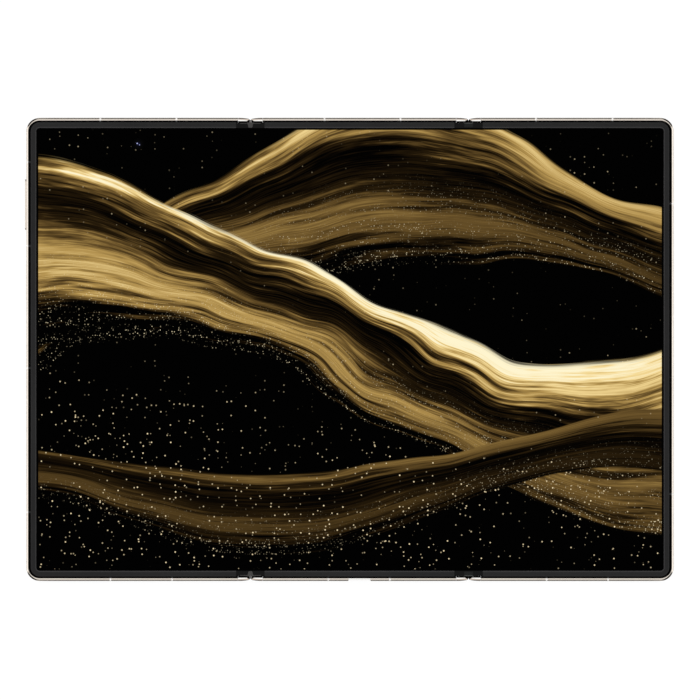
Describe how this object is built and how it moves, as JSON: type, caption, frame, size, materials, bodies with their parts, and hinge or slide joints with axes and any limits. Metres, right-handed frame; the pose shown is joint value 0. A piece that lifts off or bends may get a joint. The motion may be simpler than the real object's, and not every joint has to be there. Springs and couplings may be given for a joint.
{
  "type": "foldable smartphone",
  "caption": "Slim foldable smartphone with panels joined by an outward and an inward hinge, one display over all panels and a round rear camera island.",
  "frame": {"origin": "under the centre of the whole object's box, at the level of the rear camera island's rim, unfolded with the screen up", "axes": "+X to the screen's right across the folds, +Y to the screen's top along the folds, +Z out of the screen"},
  "size_m": [0.2194, 0.1568, 0.0077],
  "materials": {
    "rail": "polished champagne gold",
    "back_cover": "fine grained synthetic leather",
    "bezel": "matt, raised",
    "display": "glossy display sheet",
    "battery_foil": "foil pouch",
    "break_plastic": "moulded insulating strip",
    "circuit_board": "solder resist",
    "hinge_cap": "fine matt",
    "black_plastic": "moulded",
    "island_gold": "turned and polished",
    "lens_glass": "polished",
    "flash_lens": "textured lens",
    "hinge_steel": "polished steel",
    "steel": "satin"
  },
  "bodies": {
    "middle": {"middle_frame": "rail", "middle_back_cover": "back_cover", "middle_bezel": "bezel", "middle_display": "display", "middle_battery": "battery_foil", "middle_antenna_breaks": "break_plastic", "left_hinge_middle_wing": "hinge_steel", "right_hinge_middle_wing": "hinge_steel", "middle_wing_screws": "steel", "usb_c_shell": "steel", "usb_c_tongue": "black_plastic", "usb_board": "circuit_board", "vibration_motor": "steel"},
    "left_spine": {"left_hinge_spine": "steel", "left_hinge_pins": "steel", "left_hinge_end_caps": "hinge_cap", "left_display_bend": "display"},
    "left_panel": {"left_frame": "rail", "left_back_cover": "back_cover", "left_bezel": "bezel", "left_display": "display", "left_battery": "battery_foil", "left_antenna_breaks": "break_plastic", "left_hinge_panel_wing": "hinge_steel", "left_wing_screws": "steel", "front_camera": "black_plastic", "earpiece": "black_plastic", "key_switch_board": "circuit_board", "sim_tray_cage": "steel"},
    "volume_rocker": {"volume_rocker": "rail"},
    "power_key": {"power_key": "rail"},
    "sim_tray": {"sim_tray": "rail"},
    "right_spine": {"right_hinge_spine": "steel", "right_hinge_pins": "steel", "right_hinge_end_caps": "hinge_cap", "right_display_bend": "display"},
    "right_panel": {"right_frame": "rail", "right_back_cover": "back_cover", "right_bezel": "bezel", "right_display": "display", "right_battery": "battery_foil", "right_antenna_breaks": "break_plastic", "right_hinge_panel_wing": "hinge_steel", "right_wing_screws": "steel", "main_board": "circuit_board", "shield_cans": "steel", "loudspeakers": "black_plastic", "rear_microphone": "steel", "camera_island_ring": "island_gold", "camera_glass": "lens_glass", "main_camera": "black_plastic", "wide_camera": "black_plastic", "periscope_camera": "black_plastic", "flash_led": "flash_lens"}
  },
  "joints": [
    {"name": "left_spine_turn", "type": "hinge", "parent": "middle", "child": "left_spine", "pos_m": [-0.03218, 0, 0.00525], "axis": [0, -1, 0], "range_deg": [0, 90], "deforming": ["left_display_bend"]},
    {"name": "left_fold", "type": "hinge", "parent": "left_spine", "child": "left_panel", "pos_m": [-0.03478, 0, 0.00525], "axis": [0, -1, 0], "range_deg": [0, 90]},
    {"name": "right_spine_turn", "type": "hinge", "parent": "middle", "child": "right_spine", "pos_m": [0.03882, 0, 0.0064], "axis": [0, -1, 0], "range_deg": [0, 90], "deforming": ["right_display_bend"]},
    {"name": "right_fold", "type": "hinge", "parent": "right_spine", "child": "right_panel", "pos_m": [0.04183, 0, 0.0064], "axis": [0, -1, 0], "range_deg": [0, 90]},
    {"name": "volume_rock", "type": "hinge", "parent": "left_panel", "child": "volume_rocker", "pos_m": [-0.10827, 0.049, 0.00585], "axis": [0, 0, 1], "range_deg": [-1.2, 1.2], "stiffness_Nm_per_rad": 0.1},
    {"name": "power_press", "type": "slide", "parent": "left_panel", "child": "power_key", "axis": [1, 0, 0], "range_m": [0, 0.00025], "stiffness_N_per_m": 500},
    {"name": "sim_tray_slide", "type": "slide", "parent": "left_panel", "child": "sim_tray", "axis": [0, -1, 0], "range_m": [0, 0.018]}
  ],
  "couplings": [
    {"joint": "left_spine_turn", "follows": "left_fold", "ratio": 1},
    {"joint": "right_spine_turn", "follows": "right_fold", "ratio": 1}
  ]
}
